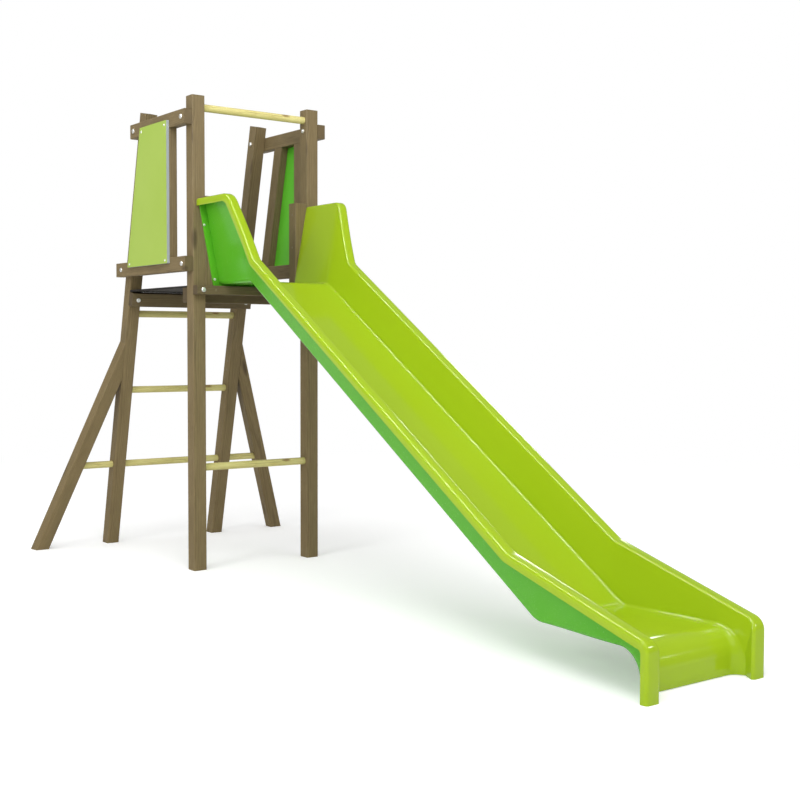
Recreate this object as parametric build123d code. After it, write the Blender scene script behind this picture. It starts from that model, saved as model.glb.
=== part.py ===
from build123d import *
import math
import os

# Straight slide: a wooden tower with a rung ladder and side rails, and a one-piece
# laminate slide hung on its front. Millimetres, +Z up.
# Layout while modelling: x = 0 on the front faces of the front posts, +X down the slide,
# y = 0 on the centre plane, z = 0 on the ground. Everything is moved at the end, so that
# the origin lies under the middle of the whole object, on the ground.

# ---------------------------------------------------------------- driving dimensions
# timber
post_size = 70.0            # square posts and props
post_edge_radius = 4.0      # softened long edges of posts and props
rail_thickness = 45.0       # rails, balusters, beams and joists
rail_height = 75.0
rail_edge_radius = 3.0      # softened long edges of rails, balusters, beams and joists
tower_width = 745.0         # over the outer faces of the posts
front_post_height = 2400.0

# leaning rear posts and side props
lean_angle = 13.0           # rear posts lean, feet to the back
rear_foot_front_x = -1086.0
rear_post_top_z = 2395.0    # highest corner of the square-cut top
prop_splay = 0.365          # sideways run of a prop for each unit of rise
prop_spread = 421.0         # from a rear post's outer face to the prop's outer face, at the ground

# round wood
bar_diameter = 38.0
socket_clearance = 0.2      # on the radius of every socket
socket_depth = 25.0
socket_end_gap = 1.0
first_rung_z = 466.0
rung_spacing = 427.0
rung_count = 3
stretcher_z = 524.0
top_bar_z = 2345.0

# side rails and their infill
top_rail_bottom_z = 2252.0
lower_rail_bottom_z = 1520.0
top_rail_overhang = 4.0     # past the rear post, at the rail's mid height
lower_rail_overhang = 30.0
panel_thickness = 15.0
panel_rail_lap = 38.0       # how far a panel laps over the top rail
panel_lower_lap = 30.0      # and over the lower rail
panel_setback = 170.0       # from the front posts' faces to the panel's upright edge
panel_lower_length = 479.0
baluster_width = 75.0
leaning_baluster_inset = 38.0   # from the panel's leaning edge
panel_corner_radius = 3.0

# platform
deck_top_z = 1449.0
deck_thickness = 10.0
deck_gap = 2.0              # round the deck, at posts and beam
deck_ledge = 1.0            # the beam's top lies this far below the deck's top

# short posts beside the slide
slide_post_top_z = 1901.0

# slide
laminate = 7.0
bed_half_width = 222.0
wall_flare = 0.19           # sideways run of the walls for each unit of height
rim_width = 49.0
lip_depth = 37.0
bed_fillet = 28.0           # bed to wall, inside
fold_radius = 12.0          # folds of the rim, outside
entry_bed_z = 1464.0
chute_angle = 32.37
entry_length = 320.0        # from the posts to the first bend, along the bed
exit_bed_z = 162.0
entry_bend_radius = 120.0
exit_bend_radius = 260.0
wing_top_z = 1885.0
wing_top_length = 305.0
wing_front_slope = 0.5      # forward run of the wing's front edge for each unit of drop
chute_wall_height = 161.0   # square to the bed
rim_bend_x = 2296.0
exit_rim_fall = 0.29        # drop of the exit's rim for each unit forward
wing_corner_radius = 50.0
rim_bend_radius = 60.0
end_corner_radius = 45.0
slide_end_x = 2977.0
exit_bed_half_width = 248.0
roll_radius = 95.0          # the bed's end rolls down into the apron
apron_front_x = 2888.0
apron_ground_gap = 3.0
column_depth = 28.0         # depth of the side lip where it runs down to the ground
fixing_flange_width = 42.0  # outside the wing's wall
flange_bearing = 25.0       # least lap of the flange on the short posts
flange_corner_radius = 8.0
flange_foot_gap = 1.0       # above the beam
seam_clearance = 9.0        # from a flange screw to the seam between two posts

# fasteners
bolt_diameter = 10.0
bolt_clearance = 0.25       # on the radius
bolt_head_diameter = 24.0
bolt_head_height = 6.0
nut_diameter = 22.0
nut_height = 8.0
nut_bore_depth = 5.0
nut_rim_height = 3.0        # upright edge below the nut's dome
screw_diameter = 6.0
screw_clearance = 0.1       # on the radius
screw_head_diameter = 13.0
screw_head_height = 3.0
screw_head_cone = 4.0       # depth of a sunk head
panel_screw_edge = 23.0     # from a panel's edges to its screws
panel_screw_length = 45.0
slide_screw_heights = (1481.0, 1753.0)
slide_screw_length = 45.0
deck_screw_length = 45.0
deck_screw_spacing = 300.0
rung_screw_length = 45.0
long_screw_length = 110.0
side_screw_length = 100.0
side_screw_low = 220.0      # lower side screw, above the beam's top
side_screw_high = 60.0      # upper side screw, below the short post's top
prop_screw_shares = (0.25, 0.5)     # up the mitre between post and prop
beam_row_share = 0.4        # of the rear beam's thickness, where the deck's screws bite
nut_pocket_spare = 1.0      # round and under a nut that sits between two posts

# helpers for cutting and for the slide's shape
spare_length = 100.0        # drawn past the ground and past the mitre, then cut off
cutter_reach = 3000.0       # half size of the blocks that cut it off
cut_through = 1.0           # a hole starts this far outside the face it enters
dome_share = 0.7            # of a head's height, for its rounded edge
entry_bend_steps = 12
exit_bend_steps = 8
chute_steps = 7
wing_foot_spare = 60.0      # the evenly spaced sections end this far past the wing's foot
rim_bend_shifts = (-20.0, -8.0, 4.0, 16.0)      # extra sections where the rim bends
corner_steps = 8
curve_points = 13           # along each rounded corner of the rim
wall_leg = 4.0              # the folded rim laps this far down the exit's wall

# ---------------------------------------------------------------- derived places
half_width = tower_width / 2
lean = math.radians(lean_angle)
lean_run = math.tan(lean)
lean_depth = post_size / math.cos(lean)         # level depth of a leaning post
rear_foot_back_x = rear_foot_front_x - lean_depth
origin_x = (slide_end_x + rear_foot_back_x) / 2

joist_top_z = deck_top_z - deck_thickness
beam_top_z = deck_top_z - deck_ledge
beam_bottom_z = beam_top_z - rail_thickness
beam_bolt_z = beam_top_z - rail_thickness / 2
slide_post_inner_y = half_width - 2 * post_size
post_centre_y = half_width - post_size / 2
slide_post_centre_y = half_width - 1.5 * post_size
panel_bottom_z = lower_rail_bottom_z + rail_height - panel_lower_lap
panel_top_z = top_rail_bottom_z + panel_rail_lap
panel_back_x = -panel_setback - panel_lower_length
prop_width_level = post_size * math.hypot(1, prop_splay * math.cos(lean))


def rear_front_x(z):
    """Front face of the leaning rear posts at height z."""
    return rear_foot_front_x + lean_run * z


def rear_centre_x(z):
    return rear_front_x(z) - lean_depth / 2


def rear_back_x(z):
    return rear_front_x(z) - lean_depth


# ---------------------------------------------------------------- helpers
def block(x0, x1, y0, y1, z0, z1):
    """Box between two corners."""
    centre = Pos((x0 + x1) / 2, (y0 + y1) / 2, (z0 + z1) / 2)
    return centre * Box(x1 - x0, y1 - y0, z1 - z0)


def side_plate(points, y0, y1):
    """Outline drawn in the side view (x, z), from y0 to y1."""
    outline = Polyline(*[(x, z) for x, z in points], close=True)
    face = Plane.XZ * make_face(outline)
    return Pos(0, y1, 0) * extrude(face, amount=y1 - y0)


def soften(solid, axis, radius):
    """Round the long edges that run along an axis."""
    return fillet(solid.edges().filter_by(axis), radius)


def rod(start, direction, length, radius):
    """Round rod from a point along a direction."""
    plane = Plane(origin=start, z_dir=direction)
    return extrude(plane * Circle(radius), amount=length)


def below_ground():
    return block(-cutter_reach, cutter_reach, -cutter_reach, cutter_reach, -cutter_reach, 0)


def mirrored(solid):
    return mirror(solid, about=Plane.XZ)


def solids_of(items):
    """A group of separate solids."""
    found = []
    for item in items:
        found.extend(item.solids())
    return Compound(children=found) if len(found) > 1 else found[0]


def bolt(start, direction, grip):
    """Round-headed bolt; its head seats at start and its shank runs through the grip."""
    head_face = Plane(origin=start, z_dir=direction)
    shank = extrude(head_face * Circle(bolt_diameter / 2), amount=grip + nut_bore_depth)
    head = extrude(head_face * Circle(bolt_head_diameter / 2), amount=-bolt_head_height)
    far_edge = head.edges().sort_by(Axis(start, direction))[0]
    return shank + fillet(far_edge, bolt_head_height * dome_share)


def cap_nut(start, direction, grip):
    """Domed nut and washer at the far end of a bolt's grip."""
    seat = Plane(origin=start, z_dir=direction).offset(grip)
    body = extrude(seat * Circle(nut_diameter / 2), amount=nut_height)
    far_edge = body.edges().sort_by(Axis(start, direction))[-1]
    body = fillet(far_edge, nut_height - nut_rim_height)
    bore = extrude(seat * Circle(bolt_diameter / 2), amount=nut_bore_depth)
    return body - bore


def bolt_hole(start, direction, grip):
    plane = Plane(origin=start, z_dir=direction).offset(-cut_through)
    return extrude(plane * Circle(bolt_diameter / 2 + bolt_clearance), amount=grip + 2 * cut_through)


def dome_screw(start, direction, length):
    """Screw with a domed head standing on the surface at start."""
    face = Plane(origin=start, z_dir=direction)
    shank = extrude(face * Circle(screw_diameter / 2), amount=length)
    head = extrude(face * Circle(screw_head_diameter / 2), amount=-screw_head_height)
    far_edge = head.edges().sort_by(Axis(start, direction))[0]
    return shank + fillet(far_edge, screw_head_height * dome_share)


def sunk_screw(start, direction, length):
    """Screw with a conical head, flush with the surface at start."""
    face = Plane(origin=start, z_dir=direction)
    cone = loft([face * Circle(screw_head_diameter / 2),
                 face.offset(screw_head_cone) * Circle(screw_diameter / 2)])
    shank = extrude(face.offset(screw_head_cone) * Circle(screw_diameter / 2),
                    amount=length - screw_head_cone)
    return cone + shank


def screw_hole(start, direction, length):
    plane = Plane(origin=start, z_dir=direction).offset(-cut_through)
    return extrude(plane * Circle(screw_diameter / 2 + screw_clearance), amount=length + 2 * cut_through)


def sunk_hole(start, direction, length):
    face = Plane(origin=start, z_dir=direction)
    cone = loft([face * Circle(screw_head_diameter / 2 + screw_clearance),
                 face.offset(screw_head_cone) * Circle(screw_diameter / 2 + screw_clearance)])
    shaft = extrude(face * Circle(screw_diameter / 2 + screw_clearance), amount=length + cut_through)
    return cone + shaft


# ---------------------------------------------------------------- fastener places
right = Vector(0, 1, 0)
left = Vector(0, -1, 0)
forward = Vector(1, 0, 0)
backward = Vector(-1, 0, 0)
down = Vector(0, 0, -1)
up = Vector(0, 0, 1)
lean_normal = Vector(math.cos(lean), 0, -math.sin(lean))    # out of the rear posts' front faces

rail_grip = rail_thickness + post_size
rail_bolt_starts = []
for rail_bottom in (lower_rail_bottom_z, top_rail_bottom_z):
    mid_z = rail_bottom + rail_height / 2
    for bolt_x in (-post_size / 2, rear_centre_x(mid_z)):
        rail_bolt_starts.append(Vector(bolt_x, half_width + rail_thickness, mid_z))

front_grip = 2 * rail_thickness + post_size
front_bolt_start = Vector(rail_thickness, post_centre_y, beam_bolt_z)

rear_beam_top = Vector(rear_front_x(joist_top_z), 0, joist_top_z)
lean_down = Vector(-math.sin(lean), 0, -math.cos(lean))
rear_bolt_point = rear_beam_top + lean_down * (rail_height / 2) + lean_normal * rail_thickness
rear_bolt_start = Vector(rear_bolt_point.X, post_centre_y, rear_bolt_point.Z)
rear_grip = rail_thickness + post_size

rung_heights = [first_rung_z + i * rung_spacing for i in range(rung_count)]

prop_top_z = prop_spread / prop_splay
prop_inner_top_z = (prop_spread - prop_width_level) / prop_splay
prop_screw_heights = [prop_inner_top_z + (prop_top_z - prop_inner_top_z) * share
                      for share in prop_screw_shares]


# ---------------------------------------------------------------- timber
def front_post():
    """Right front post with its sockets and bolt holes."""
    post = block(-post_size, 0, half_width - post_size, half_width, 0, front_post_height)
    post = soften(post, Axis.Z, post_edge_radius)
    for bar_z in (stretcher_z, top_bar_z):
        post -= socket(Vector(-post_size / 2, half_width - post_size, bar_z), right)
    for start in rail_bolt_starts:
        if start.X > -post_size:
            post -= bolt_hole(start, left, rail_grip)
    post -= bolt_hole(front_bolt_start, backward, front_grip)
    for screw_z in side_screw_heights():
        post -= sunk_hole(Vector(-post_size / 2, slide_post_inner_y, screw_z), right, side_screw_length)
    for index in range(len(slide_screw_heights)):
        post -= screw_hole(slide_screw_start(index), backward, slide_screw_length)
    for bar_z in (stretcher_z, top_bar_z):
        post -= sunk_hole(Vector(-post_size, post_inner_screw_y(), bar_z), forward, rung_screw_length)
    return post


def socket(start, direction):
    plane = Plane(origin=start, z_dir=direction).offset(-cut_through)
    return extrude(plane * Circle(bar_diameter / 2 + socket_clearance), amount=socket_depth + cut_through)


def post_inner_screw_y():
    """Bar screws sit half way into the sockets."""
    return half_width - post_size + socket_depth / 2


def side_screw_heights():
    """Screws that tie a short slide post to its front post."""
    return (beam_top_z + side_screw_low, slide_post_top_z - side_screw_high)


def slide_screw_start(index):
    """Right-hand fixing screw of the slide's flange, from the flange's face."""
    screw_z = slide_screw_heights[index]
    inner_y, outer_y = flange_edges(screw_z)
    y = (max(inner_y, slide_post_inner_y) + outer_y) / 2
    seam_y = half_width - post_size
    if abs(y - seam_y) < seam_clearance:
        y = seam_y + math.copysign(seam_clearance, y - seam_y)
    return Vector(laminate, y, screw_z)


def flange_edges(z):
    """Where the fixing flange leaves the wing's wall, and its free edge, at height z."""
    wall_y = wall_inner_y(z) + laminate
    return wall_y, max(wall_y + fixing_flange_width, slide_post_inner_y + flange_bearing)


def wall_inner_y(z):
    """Inner face of the wing at the posts."""
    return bed_half_width + wall_flare * (z - entry_bed_z)


def rear_post():
    """Right rear post, leaning, square-cut at the top and level at the foot."""
    top_back = (rear_back_x(rear_post_top_z), rear_post_top_z)
    top_front = (top_back[0] + post_size * math.cos(lean), top_back[1] - post_size * math.sin(lean))
    below = -spare_length
    outline = [(rear_back_x(below), below), (rear_front_x(below), below), top_front, top_back]
    post = side_plate(outline, half_width - post_size, half_width)
    long_edges = post.edges().filter_by(lambda e: e.length > front_post_height / 2)
    post = fillet(long_edges, post_edge_radius)
    post -= below_ground()
    for rung_z in rung_heights:
        post -= socket(Vector(rear_centre_x(rung_z), half_width - post_size, rung_z), right)
        post -= rung_screw_cut(rung_z, half_width - post_size + socket_depth / 2)
    post -= socket(Vector(rear_centre_x(first_rung_z), half_width, first_rung_z), left)
    post -= rung_screw_cut(first_rung_z, half_width - socket_depth / 2)
    for start in rail_bolt_starts:
        if start.X < -post_size:
            post -= bolt_hole(start, left, rail_grip)
    post -= bolt_hole(rear_bolt_start, lean_normal * -1, rear_grip)
    for screw_z in prop_screw_heights:
        post -= sunk_hole(prop_screw_start(screw_z), right, long_screw_length)
    return post


def rung_screw_start(rung_z, y):
    """Rungs are held by screws from the posts' back faces."""
    centre = Vector(rear_centre_x(rung_z), y, rung_z)
    return centre - lean_normal * (post_size / 2)


def rung_screw_cut(rung_z, y):
    return sunk_hole(rung_screw_start(rung_z, y), lean_normal, rung_screw_length)


def prop_screw_start(screw_z):
    return Vector(rear_centre_x(screw_z), half_width - post_size, screw_z)


def prop():
    """Right side prop: in the plane of the rear posts, splayed, mitred against the post."""
    below = -spare_length
    rise = 1 / math.cos(lean)

    def corner(z, offset):
        y = half_width + prop_spread - prop_splay * z - offset
        return (y, z * rise)

    plane = Plane(origin=(rear_foot_front_x, 0, 0), x_dir=(0, 1, 0), z_dir=tuple(lean_normal))
    top = prop_top_z + spare_length
    outline = Polyline(corner(below, 0), corner(top, 0), corner(top, prop_width_level),
                       corner(below, prop_width_level), close=True)
    bar = extrude(plane * make_face(outline), amount=-post_size)
    long_edges = bar.edges().filter_by(lambda e: e.length > prop_top_z / 2)
    bar = fillet(long_edges, post_edge_radius)
    bar -= below_ground()
    bar -= block(-cutter_reach, cutter_reach, -half_width, half_width, 0, cutter_reach)
    inner_y = prop_inner_y(first_rung_z)
    reach = rod(Vector(rear_centre_x(first_rung_z), inner_y - post_size, first_rung_z), right,
                post_size + socket_depth, bar_diameter / 2 + socket_clearance)
    bar -= reach
    bar -= rung_screw_cut(first_rung_z, inner_y + socket_depth / 2)
    for screw_z in prop_screw_heights:
        bar -= screw_hole(prop_screw_start(screw_z), right, long_screw_length)
    return bar


def prop_inner_y(z):
    return half_width + prop_spread - prop_width_level - prop_splay * z


def slide_post():
    """Right short post beside the slide's entry, between the beam and the joist."""
    post = block(-post_size, 0, slide_post_inner_y, slide_post_inner_y + post_size,
                 beam_bottom_z, slide_post_top_z)
    post = soften(post, Axis.Z, post_edge_radius)
    for screw_z in side_screw_heights():
        post -= sunk_hole(Vector(-post_size / 2, slide_post_inner_y, screw_z), right, side_screw_length)
    for index in range(len(slide_screw_heights)):
        post -= screw_hole(slide_screw_start(index), backward, slide_screw_length)
    post -= sunk_hole(beam_screw_start(), backward, long_screw_length)
    pocket_start = Vector(-post_size / 2, half_width - post_size, lower_rail_bottom_z + rail_height / 2)
    pocket = rod(pocket_start + right, left, nut_height + nut_pocket_spare + 1,
                 nut_diameter / 2 + nut_pocket_spare)
    return post - pocket


def beam_screw_start():
    return Vector(rail_thickness, slide_post_centre_y, beam_bolt_z)


def rail(bottom_z, overhang, is_top):
    """Right side rail on the posts' outer faces."""
    back_x = rear_back_x(bottom_z + rail_height / 2) - overhang
    bar = block(back_x, 0, half_width, half_width + rail_thickness, bottom_z, bottom_z + rail_height)
    bar = soften(bar, Axis.X, rail_edge_radius)
    for start in rail_bolt_starts:
        if bottom_z < start.Z < bottom_z + rail_height:
            bar -= bolt_hole(start, left, rail_grip)
    for start in panel_screw_starts():
        bar -= screw_hole(start, left, panel_screw_length)
    for start, direction in baluster_screw_places():
        if (direction == down) == is_top:
            bar -= sunk_hole(start, direction, long_screw_length)
    return bar


def leaning_back_x(z):
    """Back face of the leaning baluster."""
    return panel_back_x + lean_run * (z - panel_bottom_z) + leaning_baluster_inset


def baluster_spans():
    """Bottom and top of the balusters: they stand between the two rails."""
    return lower_rail_bottom_z + rail_height, top_rail_bottom_z


def baluster_screw_places():
    """One screw down through the top rail and one up through the lower rail each."""
    bottom_z, top_z = baluster_spans()
    y = half_width + rail_thickness / 2
    level_width = baluster_width / math.cos(lean)
    upright_x = -panel_setback - baluster_width / 2
    bite = long_screw_length - rail_height
    places = []
    for x_low, x_high in ((upright_x, upright_x),
                          (leaning_back_x(bottom_z + bite / 2) + level_width / 2,
                           leaning_back_x(top_z - bite / 2) + level_width / 2)):
        places.append((Vector(x_high, y, top_z + rail_height), down))
        places.append((Vector(x_low, y, bottom_z - rail_height), up))
    return places


def upright_baluster():
    bottom_z, top_z = baluster_spans()
    bar = block(-panel_setback - baluster_width, -panel_setback, half_width,
                half_width + rail_thickness, bottom_z, top_z)
    bar = soften(bar, Axis.Z, rail_edge_radius)
    for start, direction in baluster_screw_places()[:2]:
        bar -= screw_hole(start, direction, long_screw_length)
    return bar


def leaning_baluster():
    bottom_z, top_z = baluster_spans()
    level_width = baluster_width / math.cos(lean)
    outline = [(leaning_back_x(bottom_z), bottom_z), (leaning_back_x(bottom_z) + level_width, bottom_z),
               (leaning_back_x(top_z) + level_width, top_z), (leaning_back_x(top_z), top_z)]
    bar = side_plate(outline, half_width, half_width + rail_thickness)
    long_edges = bar.edges().filter_by(lambda e: e.length > (top_z - bottom_z) / 2)
    bar = fillet(long_edges, rail_edge_radius)
    for start, direction in baluster_screw_places()[2:]:
        bar -= screw_hole(start, direction, long_screw_length)
    return bar


def panel_outline():
    top_back_x = panel_back_x + lean_run * (panel_top_z - panel_bottom_z)
    return [(panel_back_x, panel_bottom_z), (-panel_setback, panel_bottom_z),
            (-panel_setback, panel_top_z), (top_back_x, panel_top_z)]


def panel_screw_starts():
    """Four screws near the corners of the right panel, into the rails."""
    outer_y = half_width + rail_thickness + panel_thickness
    low_z = panel_bottom_z + panel_lower_lap / 2
    high_z = panel_top_z - panel_screw_edge
    places = []
    for screw_z in (low_z, high_z):
        back_x = panel_back_x + lean_run * (screw_z - panel_bottom_z) + panel_screw_edge
        for screw_x in (back_x, -panel_setback - panel_screw_edge):
            places.append(Vector(screw_x, outer_y, screw_z))
    return places


def side_panel():
    inner_y = half_width + rail_thickness
    plate = side_plate(panel_outline(), inner_y, inner_y + panel_thickness)
    plate = fillet(plate.edges().filter_by(Axis.Y), panel_corner_radius)
    for start in panel_screw_starts():
        plate -= screw_hole(start, left, panel_thickness)
    return plate


def round_bar(x, z, inner_half_width):
    """Round bar along y, housed in sockets at both ends."""
    reach = inner_half_width + socket_depth - socket_end_gap
    return rod(Vector(x, -reach, z), right, 2 * reach, bar_diameter / 2)


def front_bar(z):
    bar = round_bar(-post_size / 2, z, half_width - post_size)
    for side in (1, -1):
        bar -= screw_hole(Vector(-post_size, side * post_inner_screw_y(), z), forward, rung_screw_length)
    return bar


def ladder_rung(z):
    bar = round_bar(rear_centre_x(z), z, half_width - post_size)
    for side in (1, -1):
        y = side * (half_width - post_size + socket_depth / 2)
        bar -= screw_hole(rung_screw_start(z, y), lean_normal, rung_screw_length)
    return bar


def side_rung():
    """Right short rung between the rear post and the prop, in line with the first rung."""
    z = first_rung_z
    start_y = half_width - socket_depth + socket_end_gap
    end_y = prop_inner_y(z) + socket_depth - socket_end_gap
    bar = rod(Vector(rear_centre_x(z), start_y, z), right, end_y - start_y, bar_diameter / 2)
    for y in (half_width - socket_depth / 2, prop_inner_y(z) + socket_depth / 2):
        bar -= screw_hole(rung_screw_start(z, y), lean_normal, rung_screw_length)
    return bar


def front_beam():
    beam = block(0, rail_thickness, -half_width, half_width, beam_bottom_z, beam_top_z)
    beam = soften(beam, Axis.Y, rail_edge_radius)
    for side in (1, -1):
        start = Vector(front_bolt_start.X, side * front_bolt_start.Y, front_bolt_start.Z)
        beam -= bolt_hole(start, backward, front_grip)
        screw = beam_screw_start()
        beam -= sunk_hole(Vector(screw.X, side * screw.Y, screw.Z), backward, long_screw_length)
    return beam


def front_joist():
    joist = block(-post_size - rail_thickness, -post_size, -half_width, half_width,
                  joist_top_z - rail_height, joist_top_z)
    joist = soften(joist, Axis.Y, rail_edge_radius)
    for side in (1, -1):
        start = Vector(front_bolt_start.X, side * front_bolt_start.Y, front_bolt_start.Z)
        joist -= bolt_hole(start, backward, front_grip)
    for start in deck_screw_starts():
        joist -= screw_hole(start, down, deck_screw_length)
    return joist


def rear_beam():
    """Beam on the front faces of the rear posts, leaning with them."""
    foot = rear_beam_top + lean_down * rail_height
    outline = [(rear_beam_top.X, rear_beam_top.Z), (foot.X, foot.Z)]
    for point in (foot, rear_beam_top):
        outer = point + lean_normal * rail_thickness
        outline.append((outer.X, outer.Z))
    beam = side_plate(outline, -half_width, half_width)
    front_edges = beam.edges().filter_by(Axis.Y).sort_by(Axis.X)[-2:]
    beam = fillet(front_edges, rail_edge_radius)
    for side in (1, -1):
        start = Vector(rear_bolt_start.X, side * rear_bolt_start.Y, rear_bolt_start.Z)
        beam -= bolt_hole(start, lean_normal * -1, rear_grip)
    for start in deck_screw_starts():
        beam -= screw_hole(start, down, deck_screw_length)
    return beam


def deck_screw_starts():
    """Two rows of sunk screws, into the joist and into the rear beam."""
    front_row_x = -post_size - rail_thickness / 2
    rear_row_x = rear_beam_top.X + rail_thickness * beam_row_share
    return [Vector(x, i * deck_screw_spacing, deck_top_z)
            for x in (front_row_x, rear_row_x) for i in (-1, 0, 1)]


def platform_deck():
    """Plate on the joist and the rear beam, with a tongue between the slide posts."""
    rear_x = rear_front_x(deck_top_z) + deck_gap
    plate = block(rear_x, -post_size - deck_gap, -half_width, half_width, joist_top_z, deck_top_z)
    tongue_y = slide_post_inner_y - deck_gap
    plate += block(-post_size - 2 * deck_gap, -deck_gap, -tongue_y, tongue_y, joist_top_z, deck_top_z)
    for start in deck_screw_starts():
        plate -= sunk_hole(start, down, deck_thickness)
    return plate


# ---------------------------------------------------------------- slide
slope = math.radians(chute_angle)
chute_run = math.tan(slope)
exit_bend_x = entry_length + (entry_bed_z - exit_bed_z) / chute_run


def chute_bed_z(x):
    return entry_bed_z - (x - entry_length) * chute_run


def chute_rim_z(x):
    return chute_bed_z(x) + chute_wall_height / math.cos(slope)


def exit_rim_z(x):
    return chute_rim_z(rim_bend_x) - (x - rim_bend_x) * exit_rim_fall


def wing_foot_x():
    """Where the wing's front edge runs into the chute's rim."""
    drop_at_top = wing_top_z - chute_rim_z(wing_top_length)
    return wing_top_length + drop_at_top / (1 / wing_front_slope - chute_run)


def rim_line(end_z):
    """The rim in the side view, from the posts to the front of the exit."""
    foot_x = wing_foot_x()
    corners = [(-1, wing_top_z), (wing_top_length, wing_top_z), (foot_x, chute_rim_z(foot_x)),
               (rim_bend_x, chute_rim_z(rim_bend_x)), (slide_end_x, exit_rim_z(slide_end_x)),
               (slide_end_x, end_z)]
    radii = [wing_corner_radius, wing_corner_radius, rim_bend_radius, end_corner_radius]
    return FilletPolyline(*corners, radius=radii)


def rim_samples():
    """Points along the rim, close enough that a chord stands for the curve."""
    line = rim_line(0)
    points = []
    for edge in line.edges():
        count = 2 if edge.geom_type == GeomType.LINE else curve_points
        points.extend(edge @ (i / (count - 1)) for i in range(count))
    return [(p.X, p.Y) for p in points]


def ray_to_rim(x, z, turn, samples):
    """Distance from a bed point to the rim, square to the bed."""
    dx, dz = math.sin(turn), math.cos(turn)
    best = None
    for (ax, az), (bx, bz) in zip(samples, samples[1:]):
        side_a = (ax - x) * dz - (az - z) * dx
        side_b = (bx - x) * dz - (bz - z) * dx
        if side_a == side_b or side_a * side_b > 0:
            continue
        share = side_a / (side_a - side_b)
        reach = (ax + (bx - ax) * share - x) * dx + (az + (bz - az) * share - z) * dz
        if reach > 0 and (best is None or reach < best):
            best = reach
    return best


def section(x, z, turn, height, bed_half):
    """Closed outline of the trough, square to the bed at (x, z)."""
    plane = Plane(origin=(x, 0, z), x_dir=(0, 1, 0), z_dir=(math.cos(turn), 0, -math.sin(turn)))
    inner = bed_half + wall_flare * height
    if x > wing_foot_x():
        inner = rim_inner_y
    outer = inner + rim_width
    flare = (inner - bed_half) / height
    slant = math.hypot(1, flare)
    low = height - lip_depth
    # the underside is the same outline moved in by the laminate
    under_bed = bed_half + laminate * (slant - flare)
    under_rim = inner + laminate * (slant + flare)
    top_side = [(inner_y, inner_h) for inner_y, inner_h in
                ((bed_half, 0), (inner, height), (outer, height), (outer, low))]
    under_side = [(outer - laminate, low), (outer - laminate, height - laminate),
                  (under_rim, height - laminate), (under_bed, -laminate)]
    top_radii = [bed_fillet, fold_radius, fold_radius]
    under_radii = [fold_radius - laminate, fold_radius - laminate, bed_fillet + laminate]
    mirror_points = [(-y, h) for y, h in reversed(top_side)]
    mirror_under = [(-y, h) for y, h in reversed(under_side)]
    upper = FilletPolyline(*mirror_points, *top_side, radius=top_radii[::-1] + top_radii)
    lower = FilletPolyline(*under_side, *mirror_under, radius=under_radii + under_radii[::-1])
    ends = [Line(upper @ 1, lower @ 0), Line(lower @ 1, upper @ 0)]
    return plane * make_face(upper.edges() + [ends[0]] + lower.edges() + [ends[1]])


rim_inner_y = bed_half_width + wall_flare * chute_wall_height


def trough_sections(end_x):
    """Sections from the posts to the flat end of the exit's bed."""
    samples = rim_samples()
    stations = []
    tangent_in = entry_bend_radius * math.tan(slope / 2)
    tangent_out = exit_bend_radius * math.tan(slope / 2)
    stations += [(0, entry_bed_z, 0, bed_half_width)]
    for i in range(entry_bend_steps + 1):
        turn = slope * i / entry_bend_steps
        x = entry_length - tangent_in + entry_bend_radius * math.sin(turn)
        z = entry_bed_z - entry_bend_radius * (1 - math.cos(turn))
        stations.append((x, z, turn, bed_half_width))
    start_x = entry_length + tangent_in * math.cos(slope)
    fold_x = wing_foot_x() - chute_wall_height * math.sin(slope)
    bend_x = rim_bend_x - chute_wall_height * math.sin(slope)
    finish_x = exit_bend_x - tangent_out * math.cos(slope)
    for i in range(1, chute_steps + 1):
        x = start_x + (fold_x + wing_foot_spare - start_x) * i / chute_steps
        stations.append((x, chute_bed_z(x), slope, bed_half_width))
    for shift in rim_bend_shifts:
        x = bend_x + shift
        stations.append((x, chute_bed_z(x), slope, bed_half_width))
    for i in range(exit_bend_steps + 1):
        turn = slope * (1 - i / exit_bend_steps)
        x = finish_x + exit_bend_radius * (math.sin(slope) - math.sin(turn))
        z = exit_bed_z + exit_bend_radius * (1 - math.cos(turn))
        stations.append((x, z, turn, bed_half_width))
    stations.append((end_x, exit_bed_z, 0, exit_bed_half_width))
    return [section(x, z, turn, ray_to_rim(x, z, turn, samples), half) for x, z, turn, half in stations]


def exit_rim_path(inset, corner_radius):
    """Rim of the exit's end, set in from the outside of the slide, down to the ground."""
    start_x = apron_front_x - roll_radius
    drop = inset * math.hypot(1, exit_rim_fall)
    front_x = slide_end_x - inset
    corners = [(start_x, exit_rim_z(start_x) - drop), (front_x, exit_rim_z(front_x) - drop), (front_x, 0)]
    return FilletPolyline(*corners, radius=corner_radius)


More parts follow.
